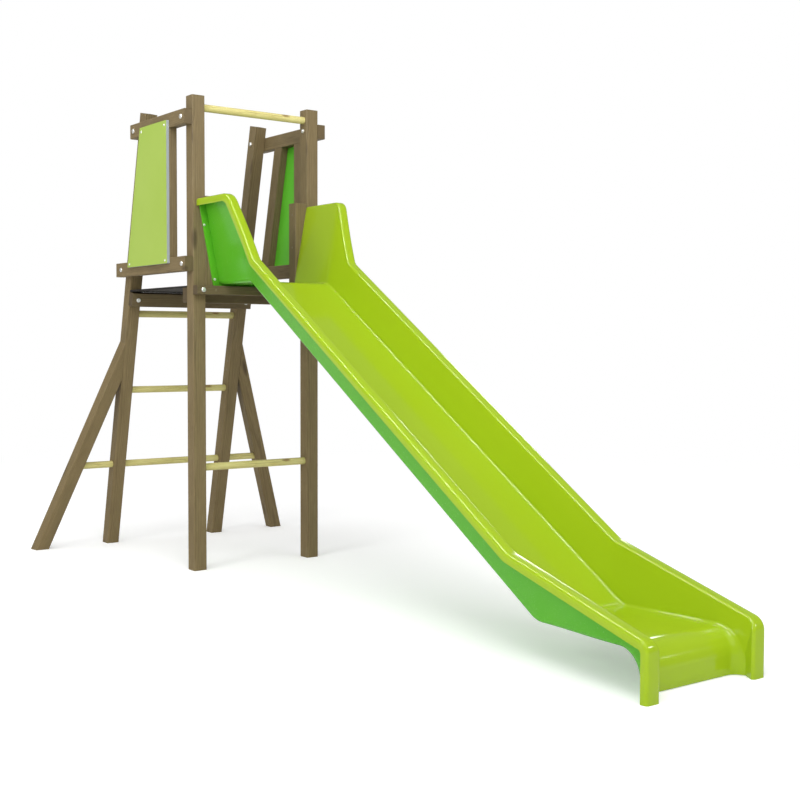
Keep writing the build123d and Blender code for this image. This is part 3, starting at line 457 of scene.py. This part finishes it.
def rounded(corners, radii, step):
    """Points (x, z, heading) along a line with rounded corners; heading is the way down."""
    points = []
    start = Vector(corners[0])
    for index in range(1, len(corners)):
        here, before = Vector(corners[index]), Vector(corners[index - 1])
        way = (here - before).normalized()
        heading = math.atan2(-way.y, way.x)
        stop, arc = here, []
        if index < len(corners) - 1:
            onward = (Vector(corners[index + 1]) - here).normalized()
            next_heading = math.atan2(-onward.y, onward.x)
            turn = next_heading - heading
            radius = radii[index - 1]
            reach = radius * math.tan(abs(turn) / 2)
            stop = here - way * reach
            side = 1 if turn > 0 else -1      # towards the ground
            hub = stop + Vector((-math.sin(heading), -math.cos(heading))) * radius * side
            count = max(least_arc, round(abs(turn) * radius / arc_step))
            for i in range(1, count + 1):
                angle = heading + turn * i / count
                spoke = Vector((math.sin(angle), math.cos(angle))) * radius * side
                arc.append((*(hub + spoke), angle))
        count = max(1, math.ceil((stop - start).length / step))
        for i in range(count + 1):
            point = start.lerp(stop, i / count)
            if i or not points:
                points.append((point.x, point.y, heading))
        points.extend(arc)
        if arc:
            start = Vector(arc[-1][:2])
    return points


def chute_bed(x):
    return bed_z - (x - first_bend) * slope


exit_bend = first_bend + (bed_z - exit_z) / slope
rim_lift = wall / math.cos(chute_turn)
rim_bend = entry_x + 2.296
rim_fall = 0.29


def rim_corners():
    wing_x = entry_x + wing_length
    foot = wing_x + (wing_top - chute_bed(wing_x) - rim_lift) / (wing_fall - slope)
    bend_z = chute_bed(rim_bend) + rim_lift
    return [(entry_x, wing_top), (wing_x, wing_top), (foot, chute_bed(foot) + rim_lift),
            (rim_bend, bend_z), (end_x, bend_z - (end_x - rim_bend) * rim_fall), (end_x, 0.0)]


bed_corners = [(entry_x, bed_z), (first_bend, bed_z), (exit_bend, exit_z), (apron_x, exit_z),
               (apron_x, apron_foot)]
bed_line = rounded(bed_corners, [entry_radius, exit_radius, roll], bed_step)
spread_line = rounded(bed_corners, [entry_radius, spread_radius, roll], bed_step)
rim_line = rounded(rim_corners(), [wing_corner, wing_foot, rim_turn, end_corner], rim_step)
roll_x = apron_x - roll             # where the bed starts to roll down


def meet(point, line, least=tiny):
    """Where the line square to the bed at a point crosses another line.

    The crossing lies at least that far above the point; a negative least lets it lie below.
    """
    x, z, turn = point
    best = None
    for a, b in zip(line, line[1:]):
        side_a = (a[0] - x) * math.cos(turn) - (a[1] - z) * math.sin(turn)
        side_b = (b[0] - x) * math.cos(turn) - (b[1] - z) * math.sin(turn)
        if side_a * side_b > 0 or side_a == side_b:
            continue
        share = side_a / (side_a - side_b)
        there = tuple(p + (q - p) * share for p, q in zip(a, b))
        reach = (there[0] - x) * math.sin(turn) + (there[1] - z) * math.cos(turn)
        if reach > least and (best is None or abs(reach) < best[0]):
            best = (abs(reach), there)
    return best[1]


def stations():
    """Bed and rim points in pairs, from the posts to the ground at the end."""
    pairs = []
    for point in spread_line:
        if point[0] <= roll_x + tiny and point[1] > exit_z - tiny:
            pairs.append((point, meet(point, rim_line)))
    dense = []
    for (bed_a, rim_a), (bed_b, rim_b) in zip(pairs, pairs[1:]):
        dense.append((bed_a, rim_a))
        bends = abs(rim_b[2] - rim_a[2]) > bend_turn
        gap = math.hypot(rim_b[0] - rim_a[0], rim_b[1] - rim_a[1])
        count = math.ceil(gap / (bend_gap if bends else straight_gap))
        for i in range(1, count):
            mid = tuple(p + (q - p) * i / count for p, q in zip(bed_a, bed_b))
            dense.append((mid, meet(mid, rim_line)))
    dense.append(pairs[-1])
    # the bed's points move from the spacing line onto the bed's own, which may lie below them
    dense = [(meet(bed_point, bed_line, -0.03), rim_point) for bed_point, rim_point in dense]
    # past the bed's flat, the bed rolls down while the rim rounds the end
    rest_bed = [point for point in bed_line if point[0] > roll_x + tiny]
    x_turn = dense[-1][1][0]
    rest_rim = [point for point in rim_line if point[0] > x_turn + tiny]
    lengths = [0.0]
    for a, b in zip(rest_rim, rest_rim[1:]):
        lengths.append(lengths[-1] + math.hypot(b[0] - a[0], b[1] - a[1]))

    def first_upright(points):
        return next(i for i, point in enumerate(points) if abs(point[2] - math.pi / 2) < tiny)

    corner_end = first_upright(rest_rim)
    roll_end = first_upright(rest_bed)

    def rim_at(length):
        for i in range(1, len(rest_rim)):
            if lengths[i] >= length:
                share = (length - lengths[i - 1]) / (lengths[i] - lengths[i - 1])
                return tuple(p + (q - p) * share for p, q in zip(rest_rim[i - 1], rest_rim[i]))
        return rest_rim[-1]

    for i, point in enumerate(rest_bed):
        if i <= roll_end:
            length = lengths[corner_end] * (i + 1) / (roll_end + 1)
        else:
            part = (i - roll_end) / (len(rest_bed) - 1 - roll_end)
            length = lengths[corner_end] + (lengths[-1] - lengths[corner_end]) * part
        dense.append((point, rim_at(length)))
    return dense


def half_width_at(x):
    """Half width of the bed: it opens a little along the run-out."""
    start = exit_bend + exit_radius * math.tan(chute_turn / 2)
    share = min(1.0, max(0.0, (x - start) / (roll_x - start)))
    return bed_half + (exit_half - bed_half) * share * share * (3 - 2 * share)


def rim_inner_at(bed_point, rim_point):
    height = math.hypot(rim_point[0] - bed_point[0], rim_point[1] - bed_point[1])
    if bed_point[0] > parallel_from:
        return rim_inner
    return bed_half + flare * height


def fillet_at(bed_point):
    """Radius between bed and wall: it grows round the roll at the end."""
    share = bed_point[2] / (math.pi / 2) if bed_point[0] > roll_x else 0.0
    return fillet + (apron_fillet - fillet) * min(1.0, share)


def column_share(rim_point):
    """0 along the slide, 1 down the end columns."""
    run = math.atan(rim_fall)
    if rim_point[0] <= rim_bend:
        return 0.0
    return min(1.0, max(0.0, (rim_point[2] - run) / (math.pi / 2 - run)))


def arc_points(centre, radius, start, stop, count):
    return [(centre[0] + radius * math.cos(start + (stop - start) * i / count),
             centre[1] + radius * math.sin(start + (stop - start) * i / count))
            for i in range(count + 1)]


def select_only(mesh, chosen):
    for vert in mesh.verts:
        vert.select = False
    for vert in chosen:
        vert.select = True
    mesh.select_flush_mode()


def slide_skin():
    """Right half of the slide's skin, drawn out from its first cross section."""
    bpy.ops.object.select_all(action="DESELECT")
    pairs = stations()
    bed_start, rim_start = pairs[0]
    height = rim_start[1] - bed_start[1]
    inner = rim_inner_at(bed_start, rim_start)
    tilt = math.atan(flare)
    # cross section as (y, z): bed, fillet, wall, fold, rim, fold, lip
    reach = fillet * math.tan((math.pi / 2 - tilt) / 2)
    centre = (bed_half - reach, bed_z + fillet)
    bed_part = [(0.0, bed_z), (centre[0] * 0.5, bed_z)]
    bed_part += arc_points(centre, fillet, -math.pi / 2, -tilt, fillet_count)
    top = bed_z + height
    fold_reach = fold * math.tan((math.pi / 2 - tilt) / 2)
    hub = (inner + fold_reach, top - fold)
    rim_part = arc_points(hub, fold, math.pi - tilt, math.pi / 2, fold_pieces)
    fold_count = len(rim_part)
    outer = inner + rim_width
    rim_part += [((inner + outer) / 2, top)]
    rim_part += arc_points((outer - fold, top - fold), fold, math.pi / 2, 0.0, fold_pieces)
    rim_part += [(outer, top - lip)]
    outline = bed_part + rim_part
    bpy.ops.mesh.primitive_plane_add(size=0.01, location=(entry_x, 0, bed_z))
    piece = bpy.context.object
    piece.name = "slide_moulding"
    bpy.ops.object.transform_apply(location=True, rotation=True, scale=True)
    bpy.ops.object.mode_set(mode="EDIT")
    mesh = bmesh.from_edit_mesh(piece.data)
    for vert in list(mesh.verts)[1:]:
        mesh.verts.remove(vert)
    mesh.verts.ensure_lookup_table()
    mesh.verts[0].co = (entry_x, *outline[0])
    select_only(mesh, mesh.verts)
    bmesh.update_edit_mesh(piece.data)
    for (y_a, z_a), (y_b, z_b) in zip(outline, outline[1:]):
        step = (0, y_b - y_a, z_b - z_a)
        bpy.ops.mesh.extrude_vertices_move(TRANSFORM_OT_translate={"value": step})
    count, bed_count = len(outline), len(bed_part)
    # each point of the cross section is numbered, and its copies keep the number
    mesh = bmesh.from_edit_mesh(piece.data)
    number = mesh.verts.layers.int.new("number")
    for vert in mesh.verts:
        vert[number] = min(range(count), key=lambda i: (vert.co.yz - Vector(outline[i])).length)
    bmesh.update_edit_mesh(piece.data)

    def newest(first, last):
        fresh = bmesh.from_edit_mesh(piece.data)
        numbers = fresh.verts.layers.int["number"]
        select_only(fresh, [vert for vert in list(fresh.verts)[-count:]
                            if first <= vert[numbers] < last])
        bmesh.update_edit_mesh(piece.data)

    def turn_by(angle, pivot):
        if abs(angle) > nil:
            bpy.ops.transform.rotate(value=angle, orient_axis="Y", orient_type="GLOBAL",
                                     center_override=(pivot[0], 0, pivot[1]))

    def slide_by(x, y, z):
        bpy.ops.transform.translate(value=(x, y, z))

    inner_before = inner
    for (bed_a, rim_a), (bed_b, rim_b) in zip(pairs, pairs[1:]):
        newest(0, count)
        bpy.ops.mesh.extrude_edges_move(TRANSFORM_OT_translate={"value": (0, 0, 0)})
        newest(0, bed_count)
        slide_by(bed_b[0] - bed_a[0], 0, bed_b[1] - bed_a[1])
        turn_by(bed_a[2] - bed_b[2], bed_b)
        newest(2, bed_count)
        slide_by(0, half_width_at(bed_b[0]) - half_width_at(bed_a[0]), 0)
        grown = fillet_at(bed_b) / fillet_at(bed_a)
        if abs(grown - 1) > nil:
            bpy.ops.transform.resize(value=(grown, grown, grown),
                                     center_override=(bed_b[0], half_width_at(bed_b[0]), bed_b[1]))
        inner = rim_inner_at(bed_b, rim_b)
        newest(bed_count, count)
        slide_by(rim_b[0] - rim_a[0], inner - inner_before, rim_b[1] - rim_a[1])
        turn_by(rim_a[2] - rim_b[2], rim_b)
        share = column_share(rim_b) - column_share(rim_a)
        if share > nil:
            less = (lip - column_lip) * share
            newest(count - 1, count)
            slide_by(math.sin(rim_b[2]) * less, 0, math.cos(rim_b[2]) * less)
            newest(bed_count, bed_count + fold_count)
            slide_by(0, -column_spread * share, 0)
        inner_before = inner
    bpy.ops.mesh.select_all(action="SELECT")
    bpy.ops.mesh.remove_doubles(threshold=0.0002)
    bpy.ops.mesh.normals_make_consistent(inside=False)
    mesh = bmesh.from_edit_mesh(piece.data)
    bed_face = min(mesh.faces, key=lambda f: abs(f.calc_center_median().y))
    if bed_face.normal.z < 0:
        bpy.ops.mesh.flip_normals()
    bpy.ops.object.mode_set(mode="OBJECT")
    return piece


def keep(piece, kind, **settings):
    """A modifier put on and applied."""
    bpy.context.view_layer.objects.active = piece
    made = piece.modifiers.new(kind.lower(), kind)
    for key, value in settings.items():
        setattr(made, key, value)
    bpy.ops.object.modifier_apply(modifier=made.name)


def plate(name, low, high):
    """A flat plate between two corners."""
    bpy.ops.object.select_all(action="DESELECT")
    bpy.ops.mesh.primitive_cube_add(size=1, location=(Vector(low) + Vector(high)) / 2)
    piece = bpy.context.object
    piece.name = name
    piece.scale = Vector(high) - Vector(low)
    bpy.ops.object.transform_apply(location=True, rotation=True, scale=True)
    return piece


flange_foot_gap = 0.001         # above the front beam
flange_top_gap = 0.004
flange_corner = 0.008


def fixing_flange():
    """Flat flange outside the wing's back edge, following the wall's flare."""
    foot, top = beam_top + flange_foot_gap, wing_top - flange_top_gap
    y_foot = bed_half + flare * (foot - bed_z) + skin / 2
    y_top = bed_half + flare * (top - bed_z) + skin / 2
    piece = plate("fixing_flange", (entry_x, y_foot, foot),
                  (entry_x + skin, y_foot + flange_width, top))
    bpy.ops.object.mode_set(mode="EDIT")
    mesh = bmesh.from_edit_mesh(piece.data)
    select_only(mesh, [vert for vert in mesh.verts if vert.co.z > (foot + top) / 2])
    bmesh.update_edit_mesh(piece.data)
    bpy.ops.transform.translate(value=(0, y_top - y_foot, 0))
    mesh = bmesh.from_edit_mesh(piece.data)
    select_only(mesh, [vert for vert in mesh.verts
                       if vert.co.z < (foot + top) / 2 and vert.co.y > y_foot + skin])
    bmesh.update_edit_mesh(piece.data)
    bpy.ops.mesh.bevel(offset=flange_corner, segments=4)
    bpy.ops.object.mode_set(mode="OBJECT")
    piece.data.materials.append(laminate_back_painted_shade())
    keep(piece, "BEVEL", width=0.0015, segments=2, limit_method="ANGLE",
         angle_limit=math.radians(50))
    return piece


def slide():
    """The whole moulding: skin with its thickness, flanges and the lip on the front beam."""
    piece = slide_skin()
    piece.data.materials.append(gelcoat())
    piece.data.materials.append(laminate_back_painted_shade())
    keep(piece, "MIRROR", use_axis=(False, True, False), use_clip=True, merge_threshold=0.0005)
    # the inner shell, under and outside the moulding, takes the painted-shade green of the reverse
    keep(piece, "SOLIDIFY", thickness=skin, offset=-1, use_even_offset=True, material_offset=1)
    keep(piece, "BEVEL", width=0.0016, segments=2, limit_method="ANGLE",
         angle_limit=math.radians(55))
    flange = fixing_flange()
    keep(flange, "MIRROR", use_axis=(False, True, False))
    entry_lip = plate("entry_lip", (entry_x, -bed_half, beam_top),
                      (entry_x + skin, bed_half, bed_z - 0.003))
    entry_lip.data.materials.append(laminate_back_painted_shade())
    bpy.ops.object.select_all(action="DESELECT")
    for part in (flange, entry_lip, piece):
        part.select_set(True)
    bpy.context.view_layer.objects.active = piece
    bpy.ops.object.join()
    bpy.ops.object.shade_smooth_by_angle(angle=math.radians(35))
    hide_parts("slide_chute")
    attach(piece, "root")


slide()


# ------------------------------------------------------------------ floor, light, camera
floor_radius = 60
fade_start, fade_end = 2.6, 7.5     # distance from the middle, where the floor turns white


def floor():
    """Pale floor that fades into the white all round, away from the slide."""
    bpy.ops.object.select_all(action="DESELECT")
    bpy.ops.mesh.primitive_circle_add(vertices=96, radius=floor_radius, fill_type="NGON",
                                      location=(0, 0, 0))
    ground = bpy.context.object
    ground.name = "floor"
    s = Shader("pale_floor")
    seen = s.node("ShaderNodeLightPath").outputs["Is Camera Ray"]
    s.set(Base_Color=(0.86, 0.86, 0.86, 1.0), Roughness=0.9, Emission_Color=(1, 1, 1, 1),
          Emission_Strength=s.maths("MULTIPLY", seen, 0.26))
    away = s.node("ShaderNodeVectorMath", {0: s.place()}, operation="LENGTH").outputs["Value"]
    fade = s.node("ShaderNodeMapRange", {"Value": away, "From Min": fade_start,
                                         "From Max": fade_end},
                  interpolation_type="SMOOTHSTEP").outputs["Result"]
    white = s.node("ShaderNodeEmission", {"Color": (1, 1, 1, 1), "Strength": 1.0}).outputs[0]
    both = s.node("ShaderNodeMixShader", {0: fade, 1: s.surface.outputs[0], 2: white}).outputs[0]
    s.put(s.tree.nodes["Material Output"].inputs["Surface"], both)
    ground.data.materials.append(s.material)


def soft_light(name, place, aim, size, power):
    """A round lamp that the camera doesn't see."""
    lamp = bpy.data.lights.new(name, "AREA")
    lamp.shape = "DISK"
    lamp.size = size
    lamp.energy = power
    holder = bpy.data.objects.new(name, lamp)
    bpy.context.scene.collection.objects.link(holder)
    holder.location = place
    holder.rotation_euler = (Vector(aim) - Vector(place)).to_track_quat("-Z", "Y").to_euler()
    holder.visible_camera = False


def camera():
    """Stands off the slide's foot, to the left, at about half the tower's height."""
    lens = bpy.data.cameras.new("camera")
    sensor, focal, frame_width = 36.0, 1246.31, 800.0    # focal length in the frame's units
    lens.sensor_width = sensor
    lens.lens = sensor * focal / frame_width
    lens.clip_end = 200.0
    holder = bpy.data.objects.new("camera", lens)
    bpy.context.scene.collection.objects.link(holder)
    yaw, pitch, roll_angle = 0.6390505, 0.0460806, 0.0023654
    ahead = Vector((-math.cos(yaw) * math.cos(pitch), math.sin(yaw) * math.cos(pitch),
                    -math.sin(pitch)))
    side = ahead.cross(Vector((0, 0, 1))).normalized()
    over = side.cross(ahead)
    side_rolled = side * math.cos(roll_angle) + over * math.sin(roll_angle)
    over_rolled = over * math.cos(roll_angle) - side * math.sin(roll_angle)
    turn = Matrix((side_rolled, over_rolled, -ahead)).transposed()
    place = Vector((entry_x + 5.665199, -3.284901, 1.163258))
    holder.matrix_world = Matrix.Translation(place) @ turn.to_4x4()
    bpy.context.scene.camera = holder


matt_level, gloss_level = 0.52, 0.34     # the sky's strength on matt surfaces and in reflections


def sky():
    """Even white to the camera, and dimmer as a light and in reflections."""
    world = bpy.data.worlds.new("studio")
    bpy.context.scene.world = world
    world.use_nodes = True
    tree = world.node_tree
    back = tree.nodes["Background"]
    back.inputs["Color"].default_value = (1, 1, 1, 1)
    rays = tree.nodes.new("ShaderNodeLightPath")
    gloss = tree.nodes.new("ShaderNodeMapRange")
    gloss.inputs["To Min"].default_value = matt_level
    gloss.inputs["To Max"].default_value = gloss_level
    level = tree.nodes.new("ShaderNodeMath")
    level.operation = "MAXIMUM"
    tree.links.new(rays.outputs["Is Glossy Ray"], gloss.inputs["Value"])
    tree.links.new(gloss.outputs["Result"], level.inputs[0])
    tree.links.new(rays.outputs["Is Camera Ray"], level.inputs[1])
    tree.links.new(level.outputs[0], back.inputs["Strength"])


def overhead():
    """Very soft light from above, even over the whole floor."""
    lamp = bpy.data.lights.new("overhead", "SUN")
    lamp.energy = 1.36
    lamp.angle = math.radians(70)
    holder = bpy.data.objects.new("overhead", lamp)
    bpy.context.scene.collection.objects.link(holder)
    holder.rotation_euler = (math.radians(16), math.radians(28), 0)


def gleam(name, place, along, towards, width, length, power):
    """A strip beside a line, seen only as a reflection on gloss."""
    soft_light(name, place, towards, width, power)
    holder = bpy.data.objects[name]
    holder.data.shape = "RECTANGLE"
    holder.data.size_y = length
    holder.visible_diffuse = False
    long_way = Vector(along).normalized()
    away = Vector(place) - Vector(towards)
    away = (away - long_way * away.dot(long_way)).normalized()
    holder.rotation_euler = Matrix((long_way.cross(away), long_way, away)).transposed().to_euler()


floor()
sky()
overhead()
soft_light("key", (3.0, -1.8, 4.2), (-0.6, 0, 1.9), 2.0, 66)
soft_light("side", (1.5, -6.0, 3.4), (-0.7, 0, 1.9), 2.4, 105)
down_slide = (math.cos(chute_turn), 0, -math.sin(chute_turn))
gleam("gleam_over", (0.16, -1.4, 3.6), down_slide, (1.6, 0.2, 0.9), 0.3, 4.2, 210)
gleam("gleam_front", (4.6, 2.4, 1.9), (0, 1, 0), (end_x, 0, exit_z), 0.3, 1.6, 45)
gleam("gleam_back", (-0.6, 2.4, 1.9), (0, 1, 0), (end_x, 0, exit_z), 0.3, 1.6, 30)
bpy.context.scene.view_settings.view_transform = "Standard"
camera()
